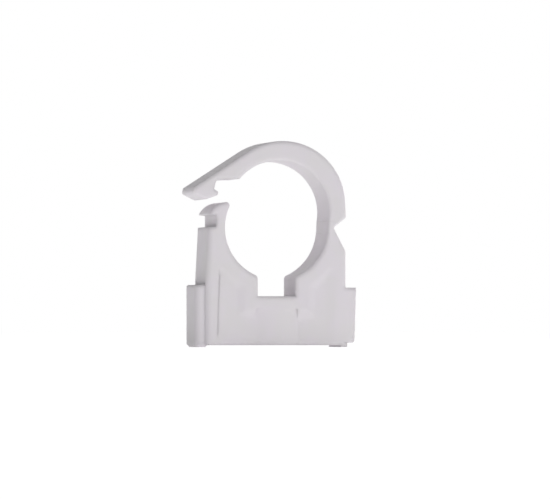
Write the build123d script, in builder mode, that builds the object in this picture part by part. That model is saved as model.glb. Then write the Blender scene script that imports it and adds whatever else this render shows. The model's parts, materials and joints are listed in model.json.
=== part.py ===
from build123d import *
import os
from math import acos, asin, atan2, cos, degrees, hypot, radians, sin, tan

os.makedirs("parts", exist_ok=True)

# Frame: X across the clip, Y along the pipe, Z away from the wall.
# The origin is on the wall, on the axis of the screw hole. The strap stands part open, as it is moulded.

# Pipe bore and depth along the pipe
clip_depth = 15.0
bore_radius = 11.2
strap_radius = 11.0

# Heights that stack up from the wall to the bore
foot_height = 0.4
column_height = 10.55
slot_depth = 3.55

# Screw slot and screw hole
slot_width = 8.2
slot_corner_round = 0.9
screw_hole_diameter = 4.8
screw_head_seat_diameter = 7.6
screw_seat_angle = 90.0

# Walls beside the bore
left_wall = 4.3
right_wall = 3.9
post_wall = 3.7
post_draft_height = 14.5

# Hook on top of the post
shelf_rise = 0.1
neck_wall = 2.0
neck_height = 2.55
lip_overhang = 1.35
lip_rise = 0.15
lip_edge = 0.25
crown_rise = 0.88
hook_wrap_angle = 28.7
hook_tip_round = 0.7

# Living hinge
web_thickness = 1.25
web_half_length = 1.2
web_root_round = 0.45
hinge_rise = 0.1
notch_foot_drop = 5.2
notch_foot_round = 2.0

# Strap, drawn closed over the pipe and turned by this angle as moulded
open_angle = 12.3
strap_lift = 0.9
strap_outer_radius = 13.65
strap_outer_shift = 0.6
strap_outer_lift = 1.74
heel_stand_out = 0.45
heel_rise = 2.72
heel_round = 0.8

# Beak at the free end of the strap
beak_slope_angle = 45.2
beak_length = 14.4
beak_end_height = 1.25
beak_top_round = 0.7
beak_foot_round = 0.65
beak_low_inset = 3.1
beak_low_drop = 0.8
beak_low_round = 1.0

# Latch fits between the strap and the hook
barb_gap = 0.58
barb_drop = 0.45
barb_height = 0.7
pocket_gap = 0.25
pocket_foot_gap = 0.05
pocket_ceiling_angle = 13.5
pocket_round = 1.0
cusp_angle = 152.6

# Link rib and socket that join clips side by side
rib_stand_out = 2.08
rib_end_radius = 1.47
rib_end_inset = 2.3
rib_height = 13.4
rib_foot_edge = 0.6
rib_top_edge = 0.3
socket_clearance = 0.1
socket_block_width = 2.3
socket_block_draft = 0.35
socket_block_height = 12.8
socket_block_lift = 0.9
socket_block_round = 0.6
socket_side_gap = 0.1
foot_inset = 1.0
foot_outset = 0.3

# Shallow panels on the front and back faces, with a proud rim round the bore and slot
panel_height = 17.0
post_strip = 2.9
block_strip = 2.1
crease_depth = 0.75
crease_width = 0.85
crease_foot_height = 2.6
crease_foot_depth = 0.3
crease_lean = 0.033
panel_post_depth = 0.05
panel_column_depth = 0.42
panel_slope = 0.015
wall_panel_depth = 0.7
wall_panel_edge_depth = 0.3
wall_panel_ramp = 2.2
rim_width = 3.0
slot_rim = 2.8
rim_ramp_angle = 76.0
rim_ramp_height = 1.5
column_width = 9.2
column_crown = 0.5

# Rounding of the front and back edges
edge_round = 0.6
post_edge_round = 1.2
block_edge_round = 0.4

# Derived places
half_depth = clip_depth / 2
slot_half = slot_width / 2
slot_floor = foot_height + column_height
bore_height = slot_floor + slot_depth + bore_radius
base_left = bore_radius + left_wall
base_right = bore_radius + right_wall
post_left = bore_radius + post_wall
neck_left = bore_radius + neck_wall
lip_left = neck_left + lip_overhang
shelf_height = bore_height + shelf_rise
lip_height = shelf_height + neck_height
lip_foot = (-lip_left, lip_height + lip_rise)
lip_top = (-lip_left, lip_height + lip_rise + lip_edge)
hinge_x = bore_radius + web_thickness / 2
hinge_height = bore_height + hinge_rise
notch_root = (bore_radius + web_thickness, hinge_height)
notch_foot = (base_right, hinge_height - notch_foot_drop)
slot_angle = degrees(acos(slot_half / bore_radius))
base_cut = hinge_height - web_half_length
strap_cut = hinge_height + web_half_length
base_cut_angle = degrees(asin((base_cut - bore_height) / bore_radius))
tolerance = 0.001


def on_line(start, end, height):
    """Point at a height on the straight line through two points."""
    share = (height - start[1]) / (end[1] - start[1])
    return (start[0] + share * (end[0] - start[0]), height)


def crossing(start, start_through, end, end_through):
    """Point where two straight lines cross, each given by two points."""
    first = (start_through[0] - start[0], start_through[1] - start[1])
    second = (end_through[0] - end[0], end_through[1] - end[1])
    across = first[0] * second[1] - first[1] * second[0]
    apart = (end[0] - start[0], end[1] - start[1])
    share = (apart[0] * second[1] - apart[1] * second[0]) / across
    return (start[0] + share * first[0], start[1] + share * first[1])


def halfway(start, end):
    """Point midway between two points."""
    return ((start[0] + end[0]) / 2, (start[1] + end[1]) / 2)


def corner(sketch, point):
    """Corner of a sketch that is nearest a point."""
    return sketch.vertices().sort_by_distance(point)[0]


def on_face(edge):
    """Whether an edge lies on the front or the back face."""
    return abs(abs(edge.center().Y) - half_depth) < tolerance


def on_post(edge):
    """Whether an edge runs up the outer side of the post."""
    return edge.center().X < -neck_left and edge.center().Z < shelf_height - tolerance


# Strap plane: drawn as if closed, turned open about the hinge axis
hinge_axis = Axis((hinge_x, 0, hinge_height), (0, 1, 0))
strap_origin = Vertex(0, 0, 0).rotate(hinge_axis, open_angle).center()
strap_across = Vector(1, 0, 0).rotate(Axis.Y, open_angle)
strap_plane = Plane(origin=strap_origin, x_dir=strap_across, z_dir=(0, -1, 0))

# Strap outline places, closed
strap_centre = (0, bore_height + strap_lift)
outer_centre = (strap_outer_shift, bore_height + strap_lift + strap_outer_lift)
heel = (strap_outer_shift + strap_outer_radius + heel_stand_out, hinge_height + heel_rise)
strap_notch = on_line(notch_root, heel, strap_cut)
strap_cut_angle = degrees(asin((strap_cut - strap_centre[1]) / strap_radius))
strap_inner_end = (
    strap_centre[0] + strap_radius * cos(radians(strap_cut_angle)),
    strap_cut,
)
heel_reach = hypot(heel[0] - outer_centre[0], heel[1] - outer_centre[1])
heel_bearing = degrees(atan2(heel[1] - outer_centre[1], heel[0] - outer_centre[0]))
outer_start_angle = heel_bearing + degrees(acos(strap_outer_radius / heel_reach))
outer_end_angle = 90 + beak_slope_angle
slope_across = cos(radians(beak_slope_angle))
slope_down = sin(radians(beak_slope_angle))
beak_top = (
    outer_centre[0] - strap_outer_radius * slope_down - beak_length * slope_across,
    outer_centre[1] + strap_outer_radius * slope_across - beak_length * slope_down,
)
beak_foot = (beak_top[0], beak_top[1] - beak_end_height)
beak_low = (beak_foot[0] + beak_low_inset, beak_foot[1] - beak_low_drop)
barb_tip = (-neck_left - barb_gap, lip_height - barb_drop)
barb_foot = (barb_tip[0], barb_tip[1] - barb_height)
pocket_foot = (-lip_left - pocket_gap, lip_height - pocket_foot_gap)
cusp = (
    strap_centre[0] + strap_radius * cos(radians(cusp_angle)),
    strap_centre[1] + strap_radius * sin(radians(cusp_angle)),
)
pocket_top = (pocket_foot[0], cusp[1] - (cusp[0] - pocket_foot[0]) * tan(radians(pocket_ceiling_angle)))

# Link rib and socket places
rib_x = base_left + rib_stand_out - rib_end_radius
rib_length = clip_depth - 2 * rib_end_inset
block_left = base_right - block_strip / 2
block_right = base_right + socket_block_width
block_low_corner = (block_right - socket_block_draft, socket_block_lift)
socket_x = block_right + socket_side_gap - (rib_x - base_left)

# Panel places
face_front = -half_depth
column_half = column_width / 2
panel_left = -base_left + post_strip
panel_right = base_right - block_strip
crease_height = panel_height - crease_foot_height
crease_slope = (crease_depth - crease_foot_depth) / crease_height
crease_left = panel_left - crease_lean * crease_height
rim_radius = bore_radius + rim_width
rim_ramp = rim_ramp_height * tan(radians(rim_ramp_angle))
slot_rim_foot = slot_floor - slot_rim

# Socket block, joined to the right side of the base below
with BuildPart() as socket_block:
    with BuildSketch(Plane.XZ) as block_outline:
        with BuildLine():
            Polyline(
                (block_left, socket_block_lift),
                block_low_corner,
                (block_right, socket_block_height),
                (block_left, socket_block_height),
                close=True,
            )
        make_face()
        fillet(corner(block_outline, block_low_corner), socket_block_round)
    extrude(amount=half_depth, both=True)
    block_edges = socket_block.edges().filter_by(on_face)
    buried_edges = block_edges.filter_by(lambda edge: edge.center().X < block_left + tolerance)
    fillet(block_edges - buried_edges, block_edge_round)

# Link rib, joined to the left side of the base below
with BuildPart() as link_rib:
    with BuildSketch(Plane.XY):
        with Locations((-rib_x, 0)):
            SlotCenterToCenter(rib_length, 2 * rib_end_radius, rotation=90)
    extrude(amount=rib_height)
    chamfer(link_rib.faces().sort_by(Axis.Z)[0].edges(), rib_foot_edge)
    chamfer(link_rib.faces().sort_by(Axis.Z)[-1].edges(), rib_top_edge)

# Cutter for the panels and for the crown of the screw column
with BuildPart() as panel_cutter:
    # Panel beside the post, deeper towards its top
    with BuildSketch(Plane.XY):
        with BuildLine():
            Polyline(
                (panel_left, -clip_depth),
                (panel_left, face_front + panel_post_depth),
                (-column_half, face_front + panel_column_depth),
                (-column_half, -clip_depth),
                close=True,
            )
        make_face()
    extrude(amount=panel_height, dir=(0, panel_slope, 1))
    # Crease between the panel and the post, which dies out above the foot
    with BuildSketch(Plane.XY.offset(crease_foot_height)):
        with BuildLine():
            Polyline(
                (crease_left, -clip_depth),
                (crease_left, face_front + crease_foot_depth),
                (crease_left + crease_width, face_front + crease_foot_depth - crease_depth),
                (crease_left + crease_width, -clip_depth),
                close=True,
            )
        make_face()
    extrude(amount=crease_height, dir=(crease_lean, crease_slope, 1))
    # Panel beside the wall, deepest at the column
    with BuildSketch(Plane.XY):
        with BuildLine():
            Polyline(
                (column_half, -clip_depth),
                (column_half, face_front + wall_panel_depth),
                (panel_right - wall_panel_ramp, face_front + wall_panel_edge_depth),
                (panel_right, face_front),
                (panel_right, -clip_depth),
                close=True,
            )
        make_face()
    extrude(amount=panel_height)
    # Rim round the bore and slot, with ramped sides
    with Locations(Location((0, face_front, bore_height), (90, 0, 0))):
        Cone(rim_radius + rim_ramp, rim_radius - rim_ramp, 2 * rim_ramp_height, mode=Mode.SUBTRACT)
    with BuildSketch(Plane(origin=(0, face_front, bore_height), x_dir=(1, 0, 0), z_dir=(0, 1, 0))):
        with Locations((0, bore_height - slot_rim_foot)):
            Rectangle(slot_width + 2 * slot_rim, 2 * bore_radius, align=(Align.CENTER, Align.MAX))
    extrude(amount=rim_ramp_height, taper=-rim_ramp_angle, mode=Mode.SUBTRACT)
    # Crown of the screw column
    with BuildSketch(Plane.XY):
        with BuildLine():
            crown = ThreePointArc(
                (-column_half, face_front + column_crown),
                (0, face_front),
                (column_half, face_front + column_crown),
            )
            Polyline(crown @ 1, (column_half, -clip_depth), (-column_half, -clip_depth), crown @ 0)
        make_face()
    extrude(amount=slot_rim_foot)
    mirror(about=Plane.XZ)

# Saddle base with its post, hook, link rib and socket
with BuildPart() as base:
    with BuildSketch(Plane.XZ) as base_outline:
        with BuildLine():
            post_bore = CenterArc(
                (0, bore_height), bore_radius, 180 - hook_wrap_angle, hook_wrap_angle + slot_angle
            )
            wall_bore = CenterArc(
                (0, bore_height), bore_radius, 360 - slot_angle, slot_angle + base_cut_angle
            )
            Polyline(post_bore @ 1, (-slot_half, slot_floor), (slot_half, slot_floor), wall_bore @ 0)
            Polyline(
                wall_bore @ 1,
                on_line(notch_root, notch_foot, base_cut),
                notch_foot,
                (base_right, foot_height),
                (-base_left, foot_height),
                (-base_left, post_draft_height),
                (-post_left, shelf_height),
                (-neck_left, shelf_height),
                (-neck_left, lip_height),
                lip_foot,
                lip_top,
            )
            SagittaArc(lip_top, post_bore @ 0, crown_rise)
        make_face()
        fillet([corner(base_outline, end) for end in (post_bore @ 1, wall_bore @ 0)], slot_corner_round)
        fillet(corner(base_outline, notch_foot), notch_foot_round)
        fillet(corner(base_outline, post_bore @ 0), hook_tip_round)
    extrude(amount=half_depth, both=True)
    outline_edges = base.edges().filter_by(on_face)
    undercut_edges = outline_edges.filter_by(
        lambda edge: edge.center().X < -neck_left + tolerance
        and shelf_height - tolerance < edge.center().Z < lip_top[1]
    )
    cut_edges = outline_edges.filter_by(
        lambda edge: edge.center().Z < foot_height + tolerance
        or abs(edge.center().Z - base_cut) < tolerance
    )
    post_edges = outline_edges.filter_by(on_post)
    fillet(outline_edges - undercut_edges - cut_edges - post_edges, edge_round)
    fillet(base.edges().filter_by(on_face).filter_by(on_post), post_edge_round)
    # Socket block, and the foot under it
    add(socket_block.part)
    with BuildSketch(Plane.XZ):
        with BuildLine():
            Polyline(
                (base_right - foot_inset, 0),
                (base_right + foot_outset, 0),
                (base_right + foot_outset, socket_block_lift),
                (base_right - foot_inset, socket_block_lift),
                close=True,
            )
        make_face()
    extrude(amount=half_depth, both=True)
    # Link rib on the left
    add(link_rib.part)
    # Socket channel for the next clip's rib
    with BuildSketch(Plane.XY):
        with Locations((socket_x, 0)):
            SlotCenterToCenter(rib_length, 2 * (rib_end_radius + socket_clearance), rotation=90)
    extrude(amount=rib_height + socket_clearance, mode=Mode.SUBTRACT)
    # Shallow panels and the crowned screw column, front and back
    add(panel_cutter.part, mode=Mode.SUBTRACT)
    # Screw hole with its head seat
    with Locations((0, 0, slot_floor)):
        CounterSinkHole(
            screw_hole_diameter / 2,
            screw_head_seat_diameter / 2,
            column_height + foot_height,
            screw_seat_angle,
        )

# Strap with its beak, barb and latch pocket
with BuildPart() as strap:
    with BuildSketch(strap_plane) as strap_outline:
        with BuildLine():
            inner = CenterArc(strap_centre, strap_radius, strap_cut_angle, cusp_angle - strap_cut_angle)
            outer = CenterArc(
                outer_centre, strap_outer_radius, outer_start_angle, outer_end_angle - outer_start_angle
            )
            Polyline(inner @ 0, strap_notch, heel, outer @ 0)
            Polyline(outer @ 1, beak_top, beak_foot, beak_low, barb_foot, barb_tip, inner @ 1)
        make_face()
        fillet(corner(strap_outline, heel), heel_round)
        fillet(corner(strap_outline, beak_top), beak_top_round)
        fillet(corner(strap_outline, beak_foot), beak_foot_round)
        fillet(corner(strap_outline, beak_low), beak_low_round)
    extrude(amount=half_depth, both=True)
    strap_edges = strap.edges().filter_by(on_face)
    sharp_middles = [
        strap_plane.from_local_coords(halfway(start, end))
        for start, end in ((barb_tip, cusp), (barb_tip, barb_foot), (strap_inner_end, strap_notch))
    ]
    sharp_edges = strap_edges.filter_by(
        lambda edge: min(
            hypot(edge.center().X - middle.X, edge.center().Z - middle.Z) for middle in sharp_middles
        ) < web_half_length / 2
    )
    fillet(strap_edges - sharp_edges, edge_round)
    # Latch pocket
    with BuildSketch(strap_plane) as pocket_outline:
        with BuildLine():
            Polyline(barb_tip, pocket_foot, pocket_top, cusp, (cusp[0], barb_tip[1]), close=True)
        make_face()
        fillet(corner(pocket_outline, pocket_top), pocket_round)
    extrude(amount=clip_depth, both=True, mode=Mode.SUBTRACT)

# Living hinge: the thin web between the two
with BuildPart() as living_hinge:
    with BuildSketch(Plane.XZ):
        with BuildLine():
            strap_side = [
                strap_plane.from_local_coords(place) for place in (strap_inner_end, strap_notch, heel)
            ]
            strap_inner, strap_outer, strap_heel = [(place.X, place.Z) for place in strap_side]
            base_inner = (bore_radius * cos(radians(base_cut_angle)), base_cut)
            base_outer = on_line(notch_root, notch_foot, base_cut)
            web_root = crossing(base_outer, notch_foot, strap_outer, strap_heel)
            Line(base_inner, base_outer)
            FilletPolyline(base_outer, web_root, strap_outer, radius=web_root_round)
            Line(strap_outer, strap_inner)
            base_rise = (-sin(radians(base_cut_angle)), cos(radians(base_cut_angle)))
            TangentArc(base_inner, strap_inner, tangent=base_rise)
        make_face()
    extrude(amount=half_depth, both=True)
    end_middles = [halfway(base_inner, base_outer), halfway(strap_inner, strap_outer)]
    web_edges = living_hinge.edges().filter_by(on_face)
    web_ends = web_edges.filter_by(
        lambda edge: min(hypot(edge.center().X - x, edge.center().Z - z) for x, z in end_middles)
        < tolerance
    )
    fillet(web_edges - web_ends, edge_round)

base.part.label = "base"
strap.part.label = "strap"
living_hinge.part.label = "living_hinge"
export_step(base.part, "parts/base.step")
export_step(strap.part, "parts/strap.step")
export_step(living_hinge.part, "parts/living_hinge.step")
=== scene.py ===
"""Looks of a white moulded pipe clip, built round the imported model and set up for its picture."""

import json
import logging
import math
from dataclasses import dataclass, replace
from enum import Enum

import bmesh
import bpy
from mathutils import Matrix, Vector


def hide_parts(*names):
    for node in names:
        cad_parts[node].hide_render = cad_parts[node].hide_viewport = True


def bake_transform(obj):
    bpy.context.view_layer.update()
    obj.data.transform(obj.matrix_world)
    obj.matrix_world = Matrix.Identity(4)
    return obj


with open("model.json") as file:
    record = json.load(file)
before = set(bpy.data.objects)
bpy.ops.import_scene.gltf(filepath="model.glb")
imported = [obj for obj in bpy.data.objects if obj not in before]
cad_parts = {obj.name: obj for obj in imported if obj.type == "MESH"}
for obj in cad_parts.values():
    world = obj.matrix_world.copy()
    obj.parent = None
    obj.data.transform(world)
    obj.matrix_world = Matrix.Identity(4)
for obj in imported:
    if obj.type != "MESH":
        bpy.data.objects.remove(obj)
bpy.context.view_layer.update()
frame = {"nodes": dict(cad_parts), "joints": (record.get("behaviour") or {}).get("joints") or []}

Colour = tuple[float, float, float]
Place = tuple[float, float, float]
Point = tuple[float, float]
Inputs = dict[str | int, object]

PICTURE_WIDTH = 550
PICTURE_HEIGHT = 499
SENSOR_WIDTH = 36.0
WHITE = (1.0, 1.0, 1.0, 1.0)
ACROSS_AND_UP = (1.0, 0.0, 1.0)
HINGE_PLACE: Place = tuple(frame["joints"][0]["pos_m"])

log = logging.getLogger("pipe_clip")


class Body(Enum):
    """Moving bodies of the clip."""

    BASE = "base"
    STRAP = "strap"


class Node(Enum):
    """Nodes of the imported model."""

    BASE = "base"
    STRAP = "strap"
    LIVING_HINGE = "living_hinge"


class Socket(Enum):
    """Socket types that the shader groups use."""

    COLOUR = "NodeSocketColor"
    VALUE = "NodeSocketFloat"
    VECTOR = "NodeSocketVector"


@dataclass
class Wiring:
    """A shader node tree in the making."""

    tree: bpy.types.NodeTree

    @staticmethod
    def set_inputs(node: bpy.types.Node, inputs: Inputs) -> None:
        """Set unlinked inputs of a node, by name or number."""
        for key, value in inputs.items():
            node.inputs[key].default_value = value

    def add(self, kind: str, inputs: Inputs | None = None, **settings: object) -> bpy.types.Node:
        """Add a node and set it up.

        Args:
            kind: node type.
            inputs: values of unlinked inputs, by name or number.
            settings: properties of the node by name.

        Returns:
            The new node.
        """
        node = self.tree.nodes.new(kind)
        for label, value in settings.items():
            setattr(node, label, value)
        self.set_inputs(node, inputs or {})
        return node

    def add_step(self, low: float, high: float, inputs: Inputs | None = None) -> bpy.types.Node:
        """Add a smooth step.

        Args:
            low: value where the step starts.
            high: value where the step ends.
            inputs: values of other unlinked inputs, by name.

        Returns:
            The new node.
        """
        ends = {"From Min": low, "From Max": high}
        return self.add("ShaderNodeMapRange", ends | (inputs or {}), interpolation_type="SMOOTHSTEP")

    def join(self, source: bpy.types.NodeSocket, target: bpy.types.NodeSocket) -> None:
        """Link one socket to another."""
        self.tree.links.new(source, target)


@dataclass
class ShaderGroup(Wiring):
    """A shader node group in the making, with its named inputs and outputs."""

    entry: bpy.types.Node
    leave: bpy.types.Node

    @classmethod
    def begin(cls, name: str, inputs: dict[str, Socket], outputs: dict[str, Socket]) -> "ShaderGroup":
        """Start a group.

        Args:
            name: name of the group.
            inputs: type of each input by name.
            outputs: type of each output by name.

        Returns:
            The group with its entry and leave nodes in place.
        """
        tree = bpy.data.node_groups.new(name, "ShaderNodeTree")
        for way, sockets in (("INPUT", inputs), ("OUTPUT", outputs)):
            for label, kind in sockets.items():
                tree.interface.new_socket(label, in_out=way, socket_type=kind.value)
        return cls(tree, tree.nodes.new("NodeGroupInput"), tree.nodes.new("NodeGroupOutput"))


@dataclass(frozen=True)
class SkinGrain:
    """Fine, even skin that a spark-eroded mould leaves on the plastic."""

    name: str = "skin_grain"
    detail: float = 3.0
    pit_ratio: float = 0.31
    shallow_pit: float = 0.3
    deep_pit: float = 0.7

    def build(self) -> bpy.types.NodeTree:
        """Build the group.

        Returns:
            A group that gives a height and a roughness from a position.
        """
        group = ShaderGroup.begin(
            self.name,
            {"Position": Socket.VECTOR, "Grain per metre": Socket.VALUE,
             "Smoothest": Socket.VALUE, "Roughest": Socket.VALUE},
            {"Height": Socket.VALUE, "Roughness": Socket.VALUE},
        )
        fine = group.add("ShaderNodeTexNoise", {"Detail": self.detail})
        coarse_scale = group.add("ShaderNodeMath", {1: self.pit_ratio}, operation="MULTIPLY")
        coarse = group.add("ShaderNodeTexNoise", {"Detail": self.detail})
        total = group.add("ShaderNodeMath", operation="ADD")
        pits = {"From Min": self.shallow_pit, "From Max": self.deep_pit}
        rough = group.add("ShaderNodeMapRange", pits)
        enter = group.entry.outputs
        group.join(enter["Position"], fine.inputs["Vector"])
        group.join(enter["Position"], coarse.inputs["Vector"])
        group.join(enter["Grain per metre"], fine.inputs["Scale"])
        group.join(enter["Grain per metre"], coarse_scale.inputs[0])
        group.join(coarse_scale.outputs[0], coarse.inputs["Scale"])
        group.join(fine.outputs["Fac"], total.inputs[0])
        group.join(coarse.outputs["Fac"], total.inputs[1])
        group.join(total.outputs[0], group.leave.inputs["Height"])
        group.join(coarse.outputs["Fac"], rough.inputs["Value"])
        group.join(enter["Smoothest"], rough.inputs["To Min"])
        group.join(enter["Roughest"], rough.inputs["To Max"])
        group.join(rough.outputs["Result"], group.leave.inputs["Roughness"])
        return group.tree


@dataclass(frozen=True)
class MeltClouding:
    """Faint, soft clouds of tint where the melt flowed into the mould."""

    name: str = "melt_clouding"
    detail: float = 2.0
    drift: float = 0.8
    cloud_start: float = 0.32
    cloud_full: float = 0.68

    def build(self) -> bpy.types.NodeTree:
        """Build the group.

        Returns:
            A group that gives a colour between two tints from a position.
        """
        group = ShaderGroup.begin(
            self.name,
            {"Position": Socket.VECTOR, "Clouds per metre": Socket.VALUE,
             "Clear tint": Socket.COLOUR, "Cloudy tint": Socket.COLOUR},
            {"Colour": Socket.COLOUR},
        )
        clouds = group.add("ShaderNodeTexNoise", {"Detail": self.detail, "Distortion": self.drift})
        spread = group.add_step(self.cloud_start, self.cloud_full)
        mix = group.add("ShaderNodeMix", data_type="RGBA")
        enter = group.entry.outputs
        group.join(enter["Position"], clouds.inputs["Vector"])
        group.join(enter["Clouds per metre"], clouds.inputs["Scale"])
        group.join(clouds.outputs["Fac"], spread.inputs["Value"])
        group.join(spread.outputs["Result"], mix.inputs["Factor"])
        group.join(enter["Clear tint"], mix.inputs["A"])
        group.join(enter["Cloudy tint"], mix.inputs["B"])
        group.join(mix.outputs["Result"], group.leave.inputs["Colour"])
        return group.tree


@dataclass(frozen=True)
class MouldedPlastic:
    """White polypropylene as it leaves the mould: satin, slightly translucent, finely grained.

    Lengths are in metres. A facet is steep or mild by the cosine between its own normal and the softened
    one.
    """

    name: str
    clear_tint: Colour
    cloudy_tint: Colour
    clouds_per_metre: float
    edge_softness: float
    grain_per_metre: float = 5200.0
    grain_depth: float = 0.00001
    smoothest: float = 0.5
    roughest: float = 0.62
    specular: float = 0.3
    translucency: float = 0.1
    scatter_depth: float = 0.0008
    scatter_tint: Colour = (1.0, 0.95, 0.9)
    edge_samples: int = 8
    hinge_inner: float = 0.0022
    hinge_outer: float = 0.0045
    steep_facet: float = 0.3
    mild_facet: float = 0.65

    def soften(self, wiring: Wiring, place: bpy.types.NodeSocket) -> bpy.types.NodeSocket:
        """Shade edges as soft as worn mould steel leaves them.

        The normal stays plain round the hinge, where the nodes meet, and on facets that are much steeper
        than what lies round them.

        Args:
            wiring: node tree of the material.
            place: socket of the position on the piece.

        Returns:
            The socket of the softened normal.
        """
        edge = wiring.add("ShaderNodeBevel", {"Radius": self.edge_softness}, samples=self.edge_samples)
        plain = wiring.add("ShaderNodeNewGeometry")
        from_hinge = wiring.add("ShaderNodeVectorMath", {1: HINGE_PLACE}, operation="SUBTRACT")
        in_section = wiring.add("ShaderNodeVectorMath", {1: ACROSS_AND_UP}, operation="MULTIPLY")
        away = wiring.add("ShaderNodeVectorMath", operation="LENGTH")
        clear_of_hinge = wiring.add_step(self.hinge_inner, self.hinge_outer)
        agreement = wiring.add("ShaderNodeVectorMath", operation="DOT_PRODUCT")
        gentle = wiring.add_step(self.steep_facet, self.mild_facet)
        share = wiring.add("ShaderNodeMath", operation="MULTIPLY")
        mix = wiring.add("ShaderNodeMix", data_type="VECTOR")
        unit = wiring.add("ShaderNodeVectorMath", operation="NORMALIZE")
        wiring.join(place, from_hinge.inputs[0])
        wiring.join(from_hinge.outputs["Vector"], in_section.inputs[0])
        wiring.join(in_section.outputs["Vector"], away.inputs[0])
        wiring.join(away.outputs["Value"], clear_of_hinge.inputs["Value"])
        wiring.join(plain.outputs["Normal"], agreement.inputs[0])
        wiring.join(edge.outputs["Normal"], agreement.inputs[1])
        wiring.join(agreement.outputs["Value"], gentle.inputs["Value"])
        wiring.join(clear_of_hinge.outputs["Result"], share.inputs[0])
        wiring.join(gentle.outputs["Result"], share.inputs[1])
        wiring.join(share.outputs["Value"], mix.inputs["Factor"])
        wiring.join(plain.outputs["Normal"], mix.inputs["A"])
        wiring.join(edge.outputs["Normal"], mix.inputs["B"])
        wiring.join(mix.outputs["Result"], unit.inputs[0])
        return unit.outputs["Vector"]

    def build(self, grain: bpy.types.NodeTree, clouding: bpy.types.NodeTree) -> bpy.types.Material:
        """Build the material.

        Args:
            grain: shader group of the mould's skin.
            clouding: shader group of the melt's tint.

        Returns:
            The finished material.
        """
        material = bpy.data.materials.new(self.name)
        material.use_nodes = True
        wiring = Wiring(material.node_tree)
        surface = material.node_tree.nodes["Principled BSDF"]
        wiring.set_inputs(surface, {
            "Specular IOR Level": self.specular,
            "Subsurface Weight": self.translucency,
            "Subsurface Radius": self.scatter_tint,
            "Subsurface Scale": self.scatter_depth,
        })
        place = wiring.add("ShaderNodeTexCoord").outputs["Object"]
        skin = wiring.add("ShaderNodeGroup", node_tree=grain)
        wiring.set_inputs(skin, {
            "Grain per metre": self.grain_per_metre,
            "Smoothest": self.smoothest,
            "Roughest": self.roughest,
        })
        tint = wiring.add("ShaderNodeGroup", node_tree=clouding)
        wiring.set_inputs(tint, {
            "Clouds per metre": self.clouds_per_metre,
            "Clear tint": (*self.clear_tint, 1.0),
            "Cloudy tint": (*self.cloudy_tint, 1.0),
        })
        relief = wiring.add("ShaderNodeBump", {"Distance": self.grain_depth})
        wiring.join(place, skin.inputs["Position"])
        wiring.join(place, tint.inputs["Position"])
        wiring.join(tint.outputs["Colour"], surface.inputs["Base Color"])
        wiring.join(skin.outputs["Roughness"], surface.inputs["Roughness"])
        wiring.join(skin.outputs["Height"], relief.inputs["Height"])
        wiring.join(relief.outputs["Normal"], surface.inputs["Normal"])
        if self.edge_softness > 0.0:
            wiring.join(self.soften(wiring, place), relief.inputs["Normal"])
        return material


@dataclass
class Moulding:
    """The stiff part of the clip: saddle base and strap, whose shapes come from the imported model."""

    nodes: tuple[Node, ...] = (Node.BASE, Node.STRAP)

    def dress(self, plastic: bpy.types.Material) -> None:
        """Give both nodes the plastic.

        Args:
            plastic: finish of the moulding.
        """
        for node in self.nodes:
            piece = frame["nodes"][node.value]
            piece.data.materials.clear()
            piece.data.materials.append(plastic)
            log.info("%s keeps its shape and gets %s", piece.name, plastic.name)


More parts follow.
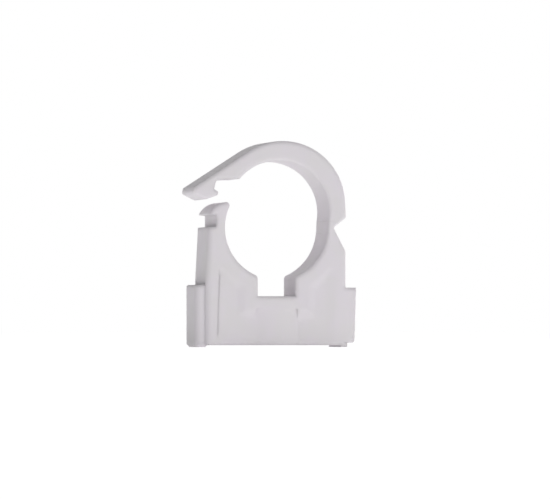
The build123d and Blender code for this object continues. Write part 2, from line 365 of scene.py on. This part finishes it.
@dataclass
class HingeWeb:
    """The thin web that joins base and strap and bends when the strap swings. Sizes in metres."""

    name: str = "hinge_web"
    depth: float = 0.015
    bore_radius: float = 0.0112
    bore_height: float = 0.0257
    strap_radius: float = 0.011
    strap_lift: float = 0.0009
    open_angle: float = math.radians(12.3)
    axis_x: float = HINGE_PLACE[0]
    axis_height: float = HINGE_PLACE[2]
    half_length: float = 0.0012
    thickness: float = 0.00125
    notch_foot_x: float = 0.0151
    notch_foot_drop: float = 0.0052
    heel_x: float = 0.0147
    heel_rise: float = 0.00272
    root_round: float = 0.00045
    edge_round: float = 0.0006
    edge_segments: int = 6
    bend_steps: int = 28
    blend_margin: float = 0.0003

    def opened(self, point: Point) -> Point:
        """Turn a point of the closed strap open about the hinge axis.

        Args:
            point: place across and up on the closed strap.

        Returns:
            The same place on the strap as it is moulded.
        """
        across = point[0] - self.axis_x
        up = point[1] - self.axis_height
        turn_cos = math.cos(self.open_angle)
        turn_sin = math.sin(self.open_angle)
        return (
            self.axis_x + across * turn_cos + up * turn_sin,
            self.axis_height - across * turn_sin + up * turn_cos,
        )

    def inner_line(self) -> list[Vector]:
        """Find places along the web's inner side, on one arc from base to strap.

        Returns:
            One place for each station of the bend.
        """
        low = self.axis_height - self.half_length - self.bore_height
        start = Vector((math.sqrt(self.bore_radius ** 2 - low ** 2), low + self.bore_height))
        high = self.half_length + self.axis_height - self.bore_height - self.strap_lift
        closed_end = (
            math.sqrt(self.strap_radius ** 2 - high ** 2),
            self.axis_height + self.half_length,
        )
        end = Vector(self.opened(closed_end))
        rise = Vector((-low, start.x)).normalized()
        chord = end - start
        normal = Vector((-rise.y, rise.x))
        radius = chord.length_squared / (2 * chord.dot(normal))
        centre = start + normal * radius
        arm = start - centre
        swing = 2 * math.atan2(chord.dot(normal), chord.dot(rise))
        return [
            centre + Matrix.Rotation(swing * step / self.bend_steps, 2) @ arm
            for step in range(self.bend_steps + 1)
        ]

    def outer_line(self) -> list[Vector]:
        """Find places along the notch on the web's outer side, from base to strap.

        Returns:
            One place for each station of the bend.
        """
        root_x = self.bore_radius + self.thickness
        base_slope = Vector((self.notch_foot_x - root_x, -self.notch_foot_drop))
        base_share = self.half_length / self.notch_foot_drop
        start = Vector((root_x, self.axis_height)) + base_slope * base_share
        strap_share = self.half_length / self.heel_rise
        closed_end = (
            root_x + (self.heel_x - root_x) * strap_share,
            self.axis_height + self.half_length,
        )
        end = Vector(self.opened(closed_end))
        heel = Vector(self.opened((self.heel_x, self.axis_height + self.heel_rise)))
        strap_slope = (heel - end).normalized()
        base_run = base_slope.normalized()
        across = base_run.cross(strap_slope)
        root = start + base_run * ((end - start).cross(strap_slope) / across)
        half_opening = base_run.angle(strap_slope) / 2
        setback = self.root_round / math.tan(half_opening)
        centre_reach = self.root_round / math.sin(half_opening)
        centre = root + (base_run + strap_slope).normalized() * centre_reach
        arc_start = root + base_run * setback
        arc_end = root + strap_slope * setback
        arc_turn = math.pi - 2 * half_opening
        base_length = (start - arc_start).length
        arc_length = self.root_round * arc_turn
        strap_length = (end - arc_end).length
        places = []
        for step in range(self.bend_steps + 1):
            gone = (base_length + arc_length + strap_length) * step / self.bend_steps
            if gone <= base_length:
                places.append(start.lerp(arc_start, gone / base_length))
            elif gone <= base_length + arc_length:
                turn = -arc_turn * (gone - base_length) / arc_length
                places.append(centre + Matrix.Rotation(turn, 2) @ (arc_start - centre))
            else:
                places.append(arc_end.lerp(end, (gone - base_length - arc_length) / strap_length))
        return places

    @staticmethod
    def station(inner: Vector, outer: Vector) -> Matrix:
        """Place a unit section so that its X runs from the web's inner side to its outer side.

        Args:
            inner: place on the inner side.
            outer: place on the outer side.

        Returns:
            The matrix that takes the unit section there.
        """
        across = outer - inner
        return Matrix((
            (across.x, 0.0, -across.y, inner.x),
            (0.0, 1.0, 0.0, 0.0),
            (across.y, 0.0, across.x, inner.y),
            (0.0, 0.0, 0.0, 1.0),
        ))

    def build(self) -> bpy.types.Object:
        """Model the web by extruding its rounded section along the bend.

        Returns:
            The web, in place.
        """
        stations = [self.station(*sides) for sides in zip(self.inner_line(), self.outer_line())]
        shape = bmesh.new()
        # The section is rounded at its true width, then made one unit wide, with its inner side at zero
        bmesh.ops.create_grid(shape, x_segments=1, y_segments=1, size=0.5)
        first_width = stations[0].to_scale().x
        bmesh.ops.scale(shape, vec=(first_width, self.depth, 1.0), verts=shape.verts)
        bmesh.ops.bevel(
            shape, geom=shape.verts[:], offset=self.edge_round, offset_type="OFFSET",
            segments=self.edge_segments, profile=0.5, affect="VERTICES", material=-1,
        )
        bmesh.ops.scale(shape, vec=(1.0 / first_width, 1.0, 1.0), verts=shape.verts)
        bmesh.ops.translate(shape, vec=(0.5, 0.0, 0.0), verts=shape.verts)
        bmesh.ops.transform(shape, matrix=stations[0], verts=shape.verts)
        top = shape.faces[:]
        spent = []
        for last, following in zip(stations, stations[1:]):
            grown = bmesh.ops.extrude_face_region(shape, geom=top)["geom"]
            bmesh.ops.delete(shape, geom=spent, context="FACES_ONLY")
            top = [item for item in grown if isinstance(item, bmesh.types.BMFace)]
            rim = [item for item in grown if isinstance(item, bmesh.types.BMVert)]
            bmesh.ops.transform(shape, matrix=following @ last.inverted(), verts=rim)
            spent = top
        bmesh.ops.recalc_face_normals(shape, faces=shape.faces)
        # Only the two flat ends have more than four sides
        for face in shape.faces:
            face.smooth = len(face.verts) == 4
        mesh = bpy.data.meshes.new(self.name)
        shape.to_mesh(mesh)
        shape.free()
        web = bpy.data.objects.new(self.name, mesh)
        bpy.context.scene.collection.objects.link(web)
        return web

    def dress(self, web: bpy.types.Object, plastic: bpy.types.Material) -> None:
        """Give the web its finish, hide the imported hinge node and bake the web's transform into its
        mesh.

        Args:
            web: the modelled web.
            plastic: finish of the web.
        """
        web.data.materials.append(plastic)
        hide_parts(Node.LIVING_HINGE.value)
        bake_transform(web)
        log.info("%s bends between base and strap", web.name)


@dataclass(frozen=True)
class StudioLamp:
    """A soft square lamp aimed at the clip."""

    name: str
    position: Place
    watts: float
    target: Place = (0.0, 0.0, 0.02)
    width: float = 0.3

    def build(self) -> bpy.types.Object:
        """Hang the lamp.

        Returns:
            The lamp's object.
        """
        data = bpy.data.lights.new(self.name, "AREA")
        data.shape = "SQUARE"
        data.size = self.width
        data.energy = self.watts
        lamp = bpy.data.objects.new(self.name, data)
        lamp.location = self.position
        aim = Vector(self.target) - Vector(self.position)
        lamp.rotation_euler = aim.to_track_quat("-Z", "Y").to_euler()
        bpy.context.scene.collection.objects.link(lamp)
        log.info("%s hangs at %s", self.name, self.position)
        return lamp


@dataclass(frozen=True)
class Studio:
    """White surround, brighter to the right, with a pale floor that keeps the clip's shadow.

    The floor glows evenly and so lights the clip from below, but its glow is dimmed in a pool under the
    clip, a painted shadow. The pool is longer across the clip than along the pipe. Lengths are in
    metres.
    """

    ambient_left: float = 0.06
    ambient_right: float = 0.7
    floor_size: float = 12.0
    floor_colour: Colour = (0.9, 0.9, 0.9)
    floor_light: float = 0.6
    floor_seen: float = 0.66
    # painted shadow: the floor's glow is dimmed in a pool under the clip
    painted_shadow_glow: float = 0.22
    painted_shadow_inner: float = 0.006
    painted_shadow_outer: float = 0.016
    painted_shadow_squeeze: float = 0.42

    @staticmethod
    def seen_white(wiring: Wiring) -> bpy.types.NodeSocket:
        """Mask the rays that show the white surround: camera, glossy and transmitted rays.

        Args:
            wiring: node tree that the mask goes into.

        Returns:
            The mask's socket.
        """
        path = wiring.add("ShaderNodeLightPath")
        mask = path.outputs["Is Camera Ray"]
        for label in ("Is Glossy Ray", "Is Transmission Ray"):
            either = wiring.add("ShaderNodeMath", operation="MAXIMUM")
            wiring.join(mask, either.inputs[0])
            wiring.join(path.outputs[label], either.inputs[1])
            mask = either.outputs[0]
        return mask

    def build_surround(self) -> None:
        """Make the world: white to look at, soft and plain as light."""
        world = bpy.data.worlds.new("white_surround")
        world.use_nodes = True
        wiring = Wiring(world.node_tree)
        back = world.node_tree.nodes["Background"]
        wiring.set_inputs(back, {"Color": WHITE})
        place = wiring.add("ShaderNodeTexCoord")
        parts = wiring.add("ShaderNodeSeparateXYZ")
        side = wiring.add("ShaderNodeMapRange", {
            "From Min": -1.0,
            "To Min": self.ambient_left,
            "To Max": self.ambient_right,
        })
        level = wiring.add("ShaderNodeMapRange", {"To Max": 1.0})
        wiring.join(place.outputs["Generated"], parts.inputs["Vector"])
        wiring.join(parts.outputs["X"], side.inputs["Value"])
        wiring.join(side.outputs["Result"], level.inputs["To Min"])
        wiring.join(self.seen_white(wiring), level.inputs["Value"])
        wiring.join(level.outputs["Result"], back.inputs["Strength"])
        bpy.context.scene.world = world

    def dress_floor(self) -> bpy.types.Material:
        """Make the floor's finish.

        Returns:
            The finished material.
        """
        material = bpy.data.materials.new("pale_floor")
        material.use_nodes = True
        wiring = Wiring(material.node_tree)
        surface = material.node_tree.nodes["Principled BSDF"]
        wiring.set_inputs(surface, {
            "Base Color": (*self.floor_colour, 1.0),
            "Roughness": 1.0,
            "Specular IOR Level": 0.0,
            "Emission Color": WHITE,
        })
        place = wiring.add("ShaderNodeTexCoord")
        factors = (self.painted_shadow_squeeze, 1.0, 1.0)
        squeeze = wiring.add("ShaderNodeVectorMath", {1: factors}, operation="MULTIPLY")
        away = wiring.add("ShaderNodeVectorMath", operation="LENGTH")
        # painted shadow: the floor's glow drops in a soft pool round the clip
        painted_shadow = wiring.add_step(
            self.painted_shadow_inner, self.painted_shadow_outer, {"To Min": self.painted_shadow_glow, "To Max": self.floor_light},
        )
        glow = wiring.add("ShaderNodeMapRange", {"To Max": self.floor_seen})
        wiring.join(place.outputs["Object"], squeeze.inputs[0])
        wiring.join(squeeze.outputs["Vector"], away.inputs[0])
        wiring.join(away.outputs["Value"], painted_shadow.inputs["Value"])
        wiring.join(painted_shadow.outputs["Result"], glow.inputs["To Min"])
        wiring.join(self.seen_white(wiring), glow.inputs["Value"])
        wiring.join(glow.outputs["Result"], surface.inputs["Emission Strength"])
        return material

    def build_floor(self) -> bpy.types.Object:
        """Lay the floor.

        Returns:
            The floor's object.
        """
        shape = bmesh.new()
        bmesh.ops.create_grid(shape, x_segments=1, y_segments=1, size=self.floor_size / 2)
        mesh = bpy.data.meshes.new("floor")
        shape.to_mesh(mesh)
        shape.free()
        mesh.materials.append(self.dress_floor())
        floor = bpy.data.objects.new("floor", mesh)
        bpy.context.scene.collection.objects.link(floor)
        log.info("floor lies under the clip")
        return floor


@dataclass(frozen=True)
class PictureCamera:
    """Long lens, slightly left of the clip's front and almost level with it."""

    target: Place = (0.0, 0.0, 0.022)
    azimuth: float = math.radians(-9.98)
    elevation: float = math.radians(-0.67)
    distance: float = 1.514
    pixels_per_metre: float = 4631.0
    target_pixel: Point = (270.83, 245.14)

    def build(self) -> bpy.types.Object:
        """Set up the camera and make it the scene's.

        Returns:
            The camera's object.
        """
        data = bpy.data.cameras.new("picture_camera")
        data.sensor_width = SENSOR_WIDTH
        data.lens = self.pixels_per_metre * self.distance * SENSOR_WIDTH / PICTURE_WIDTH
        data.shift_x = (PICTURE_WIDTH / 2 - self.target_pixel[0]) / PICTURE_WIDTH
        data.shift_y = (self.target_pixel[1] - PICTURE_HEIGHT / 2) / PICTURE_WIDTH
        camera = bpy.data.objects.new("picture_camera", data)
        back = Vector((
            math.sin(self.azimuth) * math.cos(self.elevation),
            -math.cos(self.azimuth) * math.cos(self.elevation),
            math.sin(self.elevation),
        ))
        camera.location = Vector(self.target) + back * self.distance
        camera.rotation_euler = (-back).to_track_quat("-Z", "Y").to_euler()
        bpy.context.scene.collection.objects.link(camera)
        bpy.context.scene.camera = camera
        log.info("camera stands at %s", tuple(round(value, 4) for value in camera.location))
        return camera


SADDLE_PLASTIC = MouldedPlastic(
    name="white_moulded_plastic",
    clear_tint=(0.79, 0.752, 0.795),
    cloudy_tint=(0.779, 0.752, 0.772),
    clouds_per_metre=150.0,
    edge_softness=0.0014,
)
WEB_PLASTIC = replace(
    SADDLE_PLASTIC,
    name="white_bent_plastic",
    cloudy_tint=(0.781, 0.752, 0.774),
    clouds_per_metre=240.0,
    edge_softness=0.0,
)
LAMPS = (
    StudioLamp("front_lamp", position=(0.1, -1.3, 0.12), watts=2.55),
    StudioLamp("rim_lamp", position=(0.6, 0.7, 0.15), watts=2.5),
)


def main() -> None:
    """Build and dress the clip, then its studio and camera."""
    logging.basicConfig(level=logging.INFO, format="%(name)s: %(message)s")
    bpy.context.scene.view_settings.view_transform = "Standard"
    grain = SkinGrain().build()
    clouding = MeltClouding().build()
    Moulding().dress(SADDLE_PLASTIC.build(grain, clouding))
    hinge = HingeWeb()
    hinge.dress(hinge.build(), WEB_PLASTIC.build(grain, clouding))
    studio = Studio()
    studio.build_surround()
    studio.build_floor()
    for lamp in LAMPS:
        lamp.build()
    PictureCamera().build()


if __name__ == "__main__":
    main()
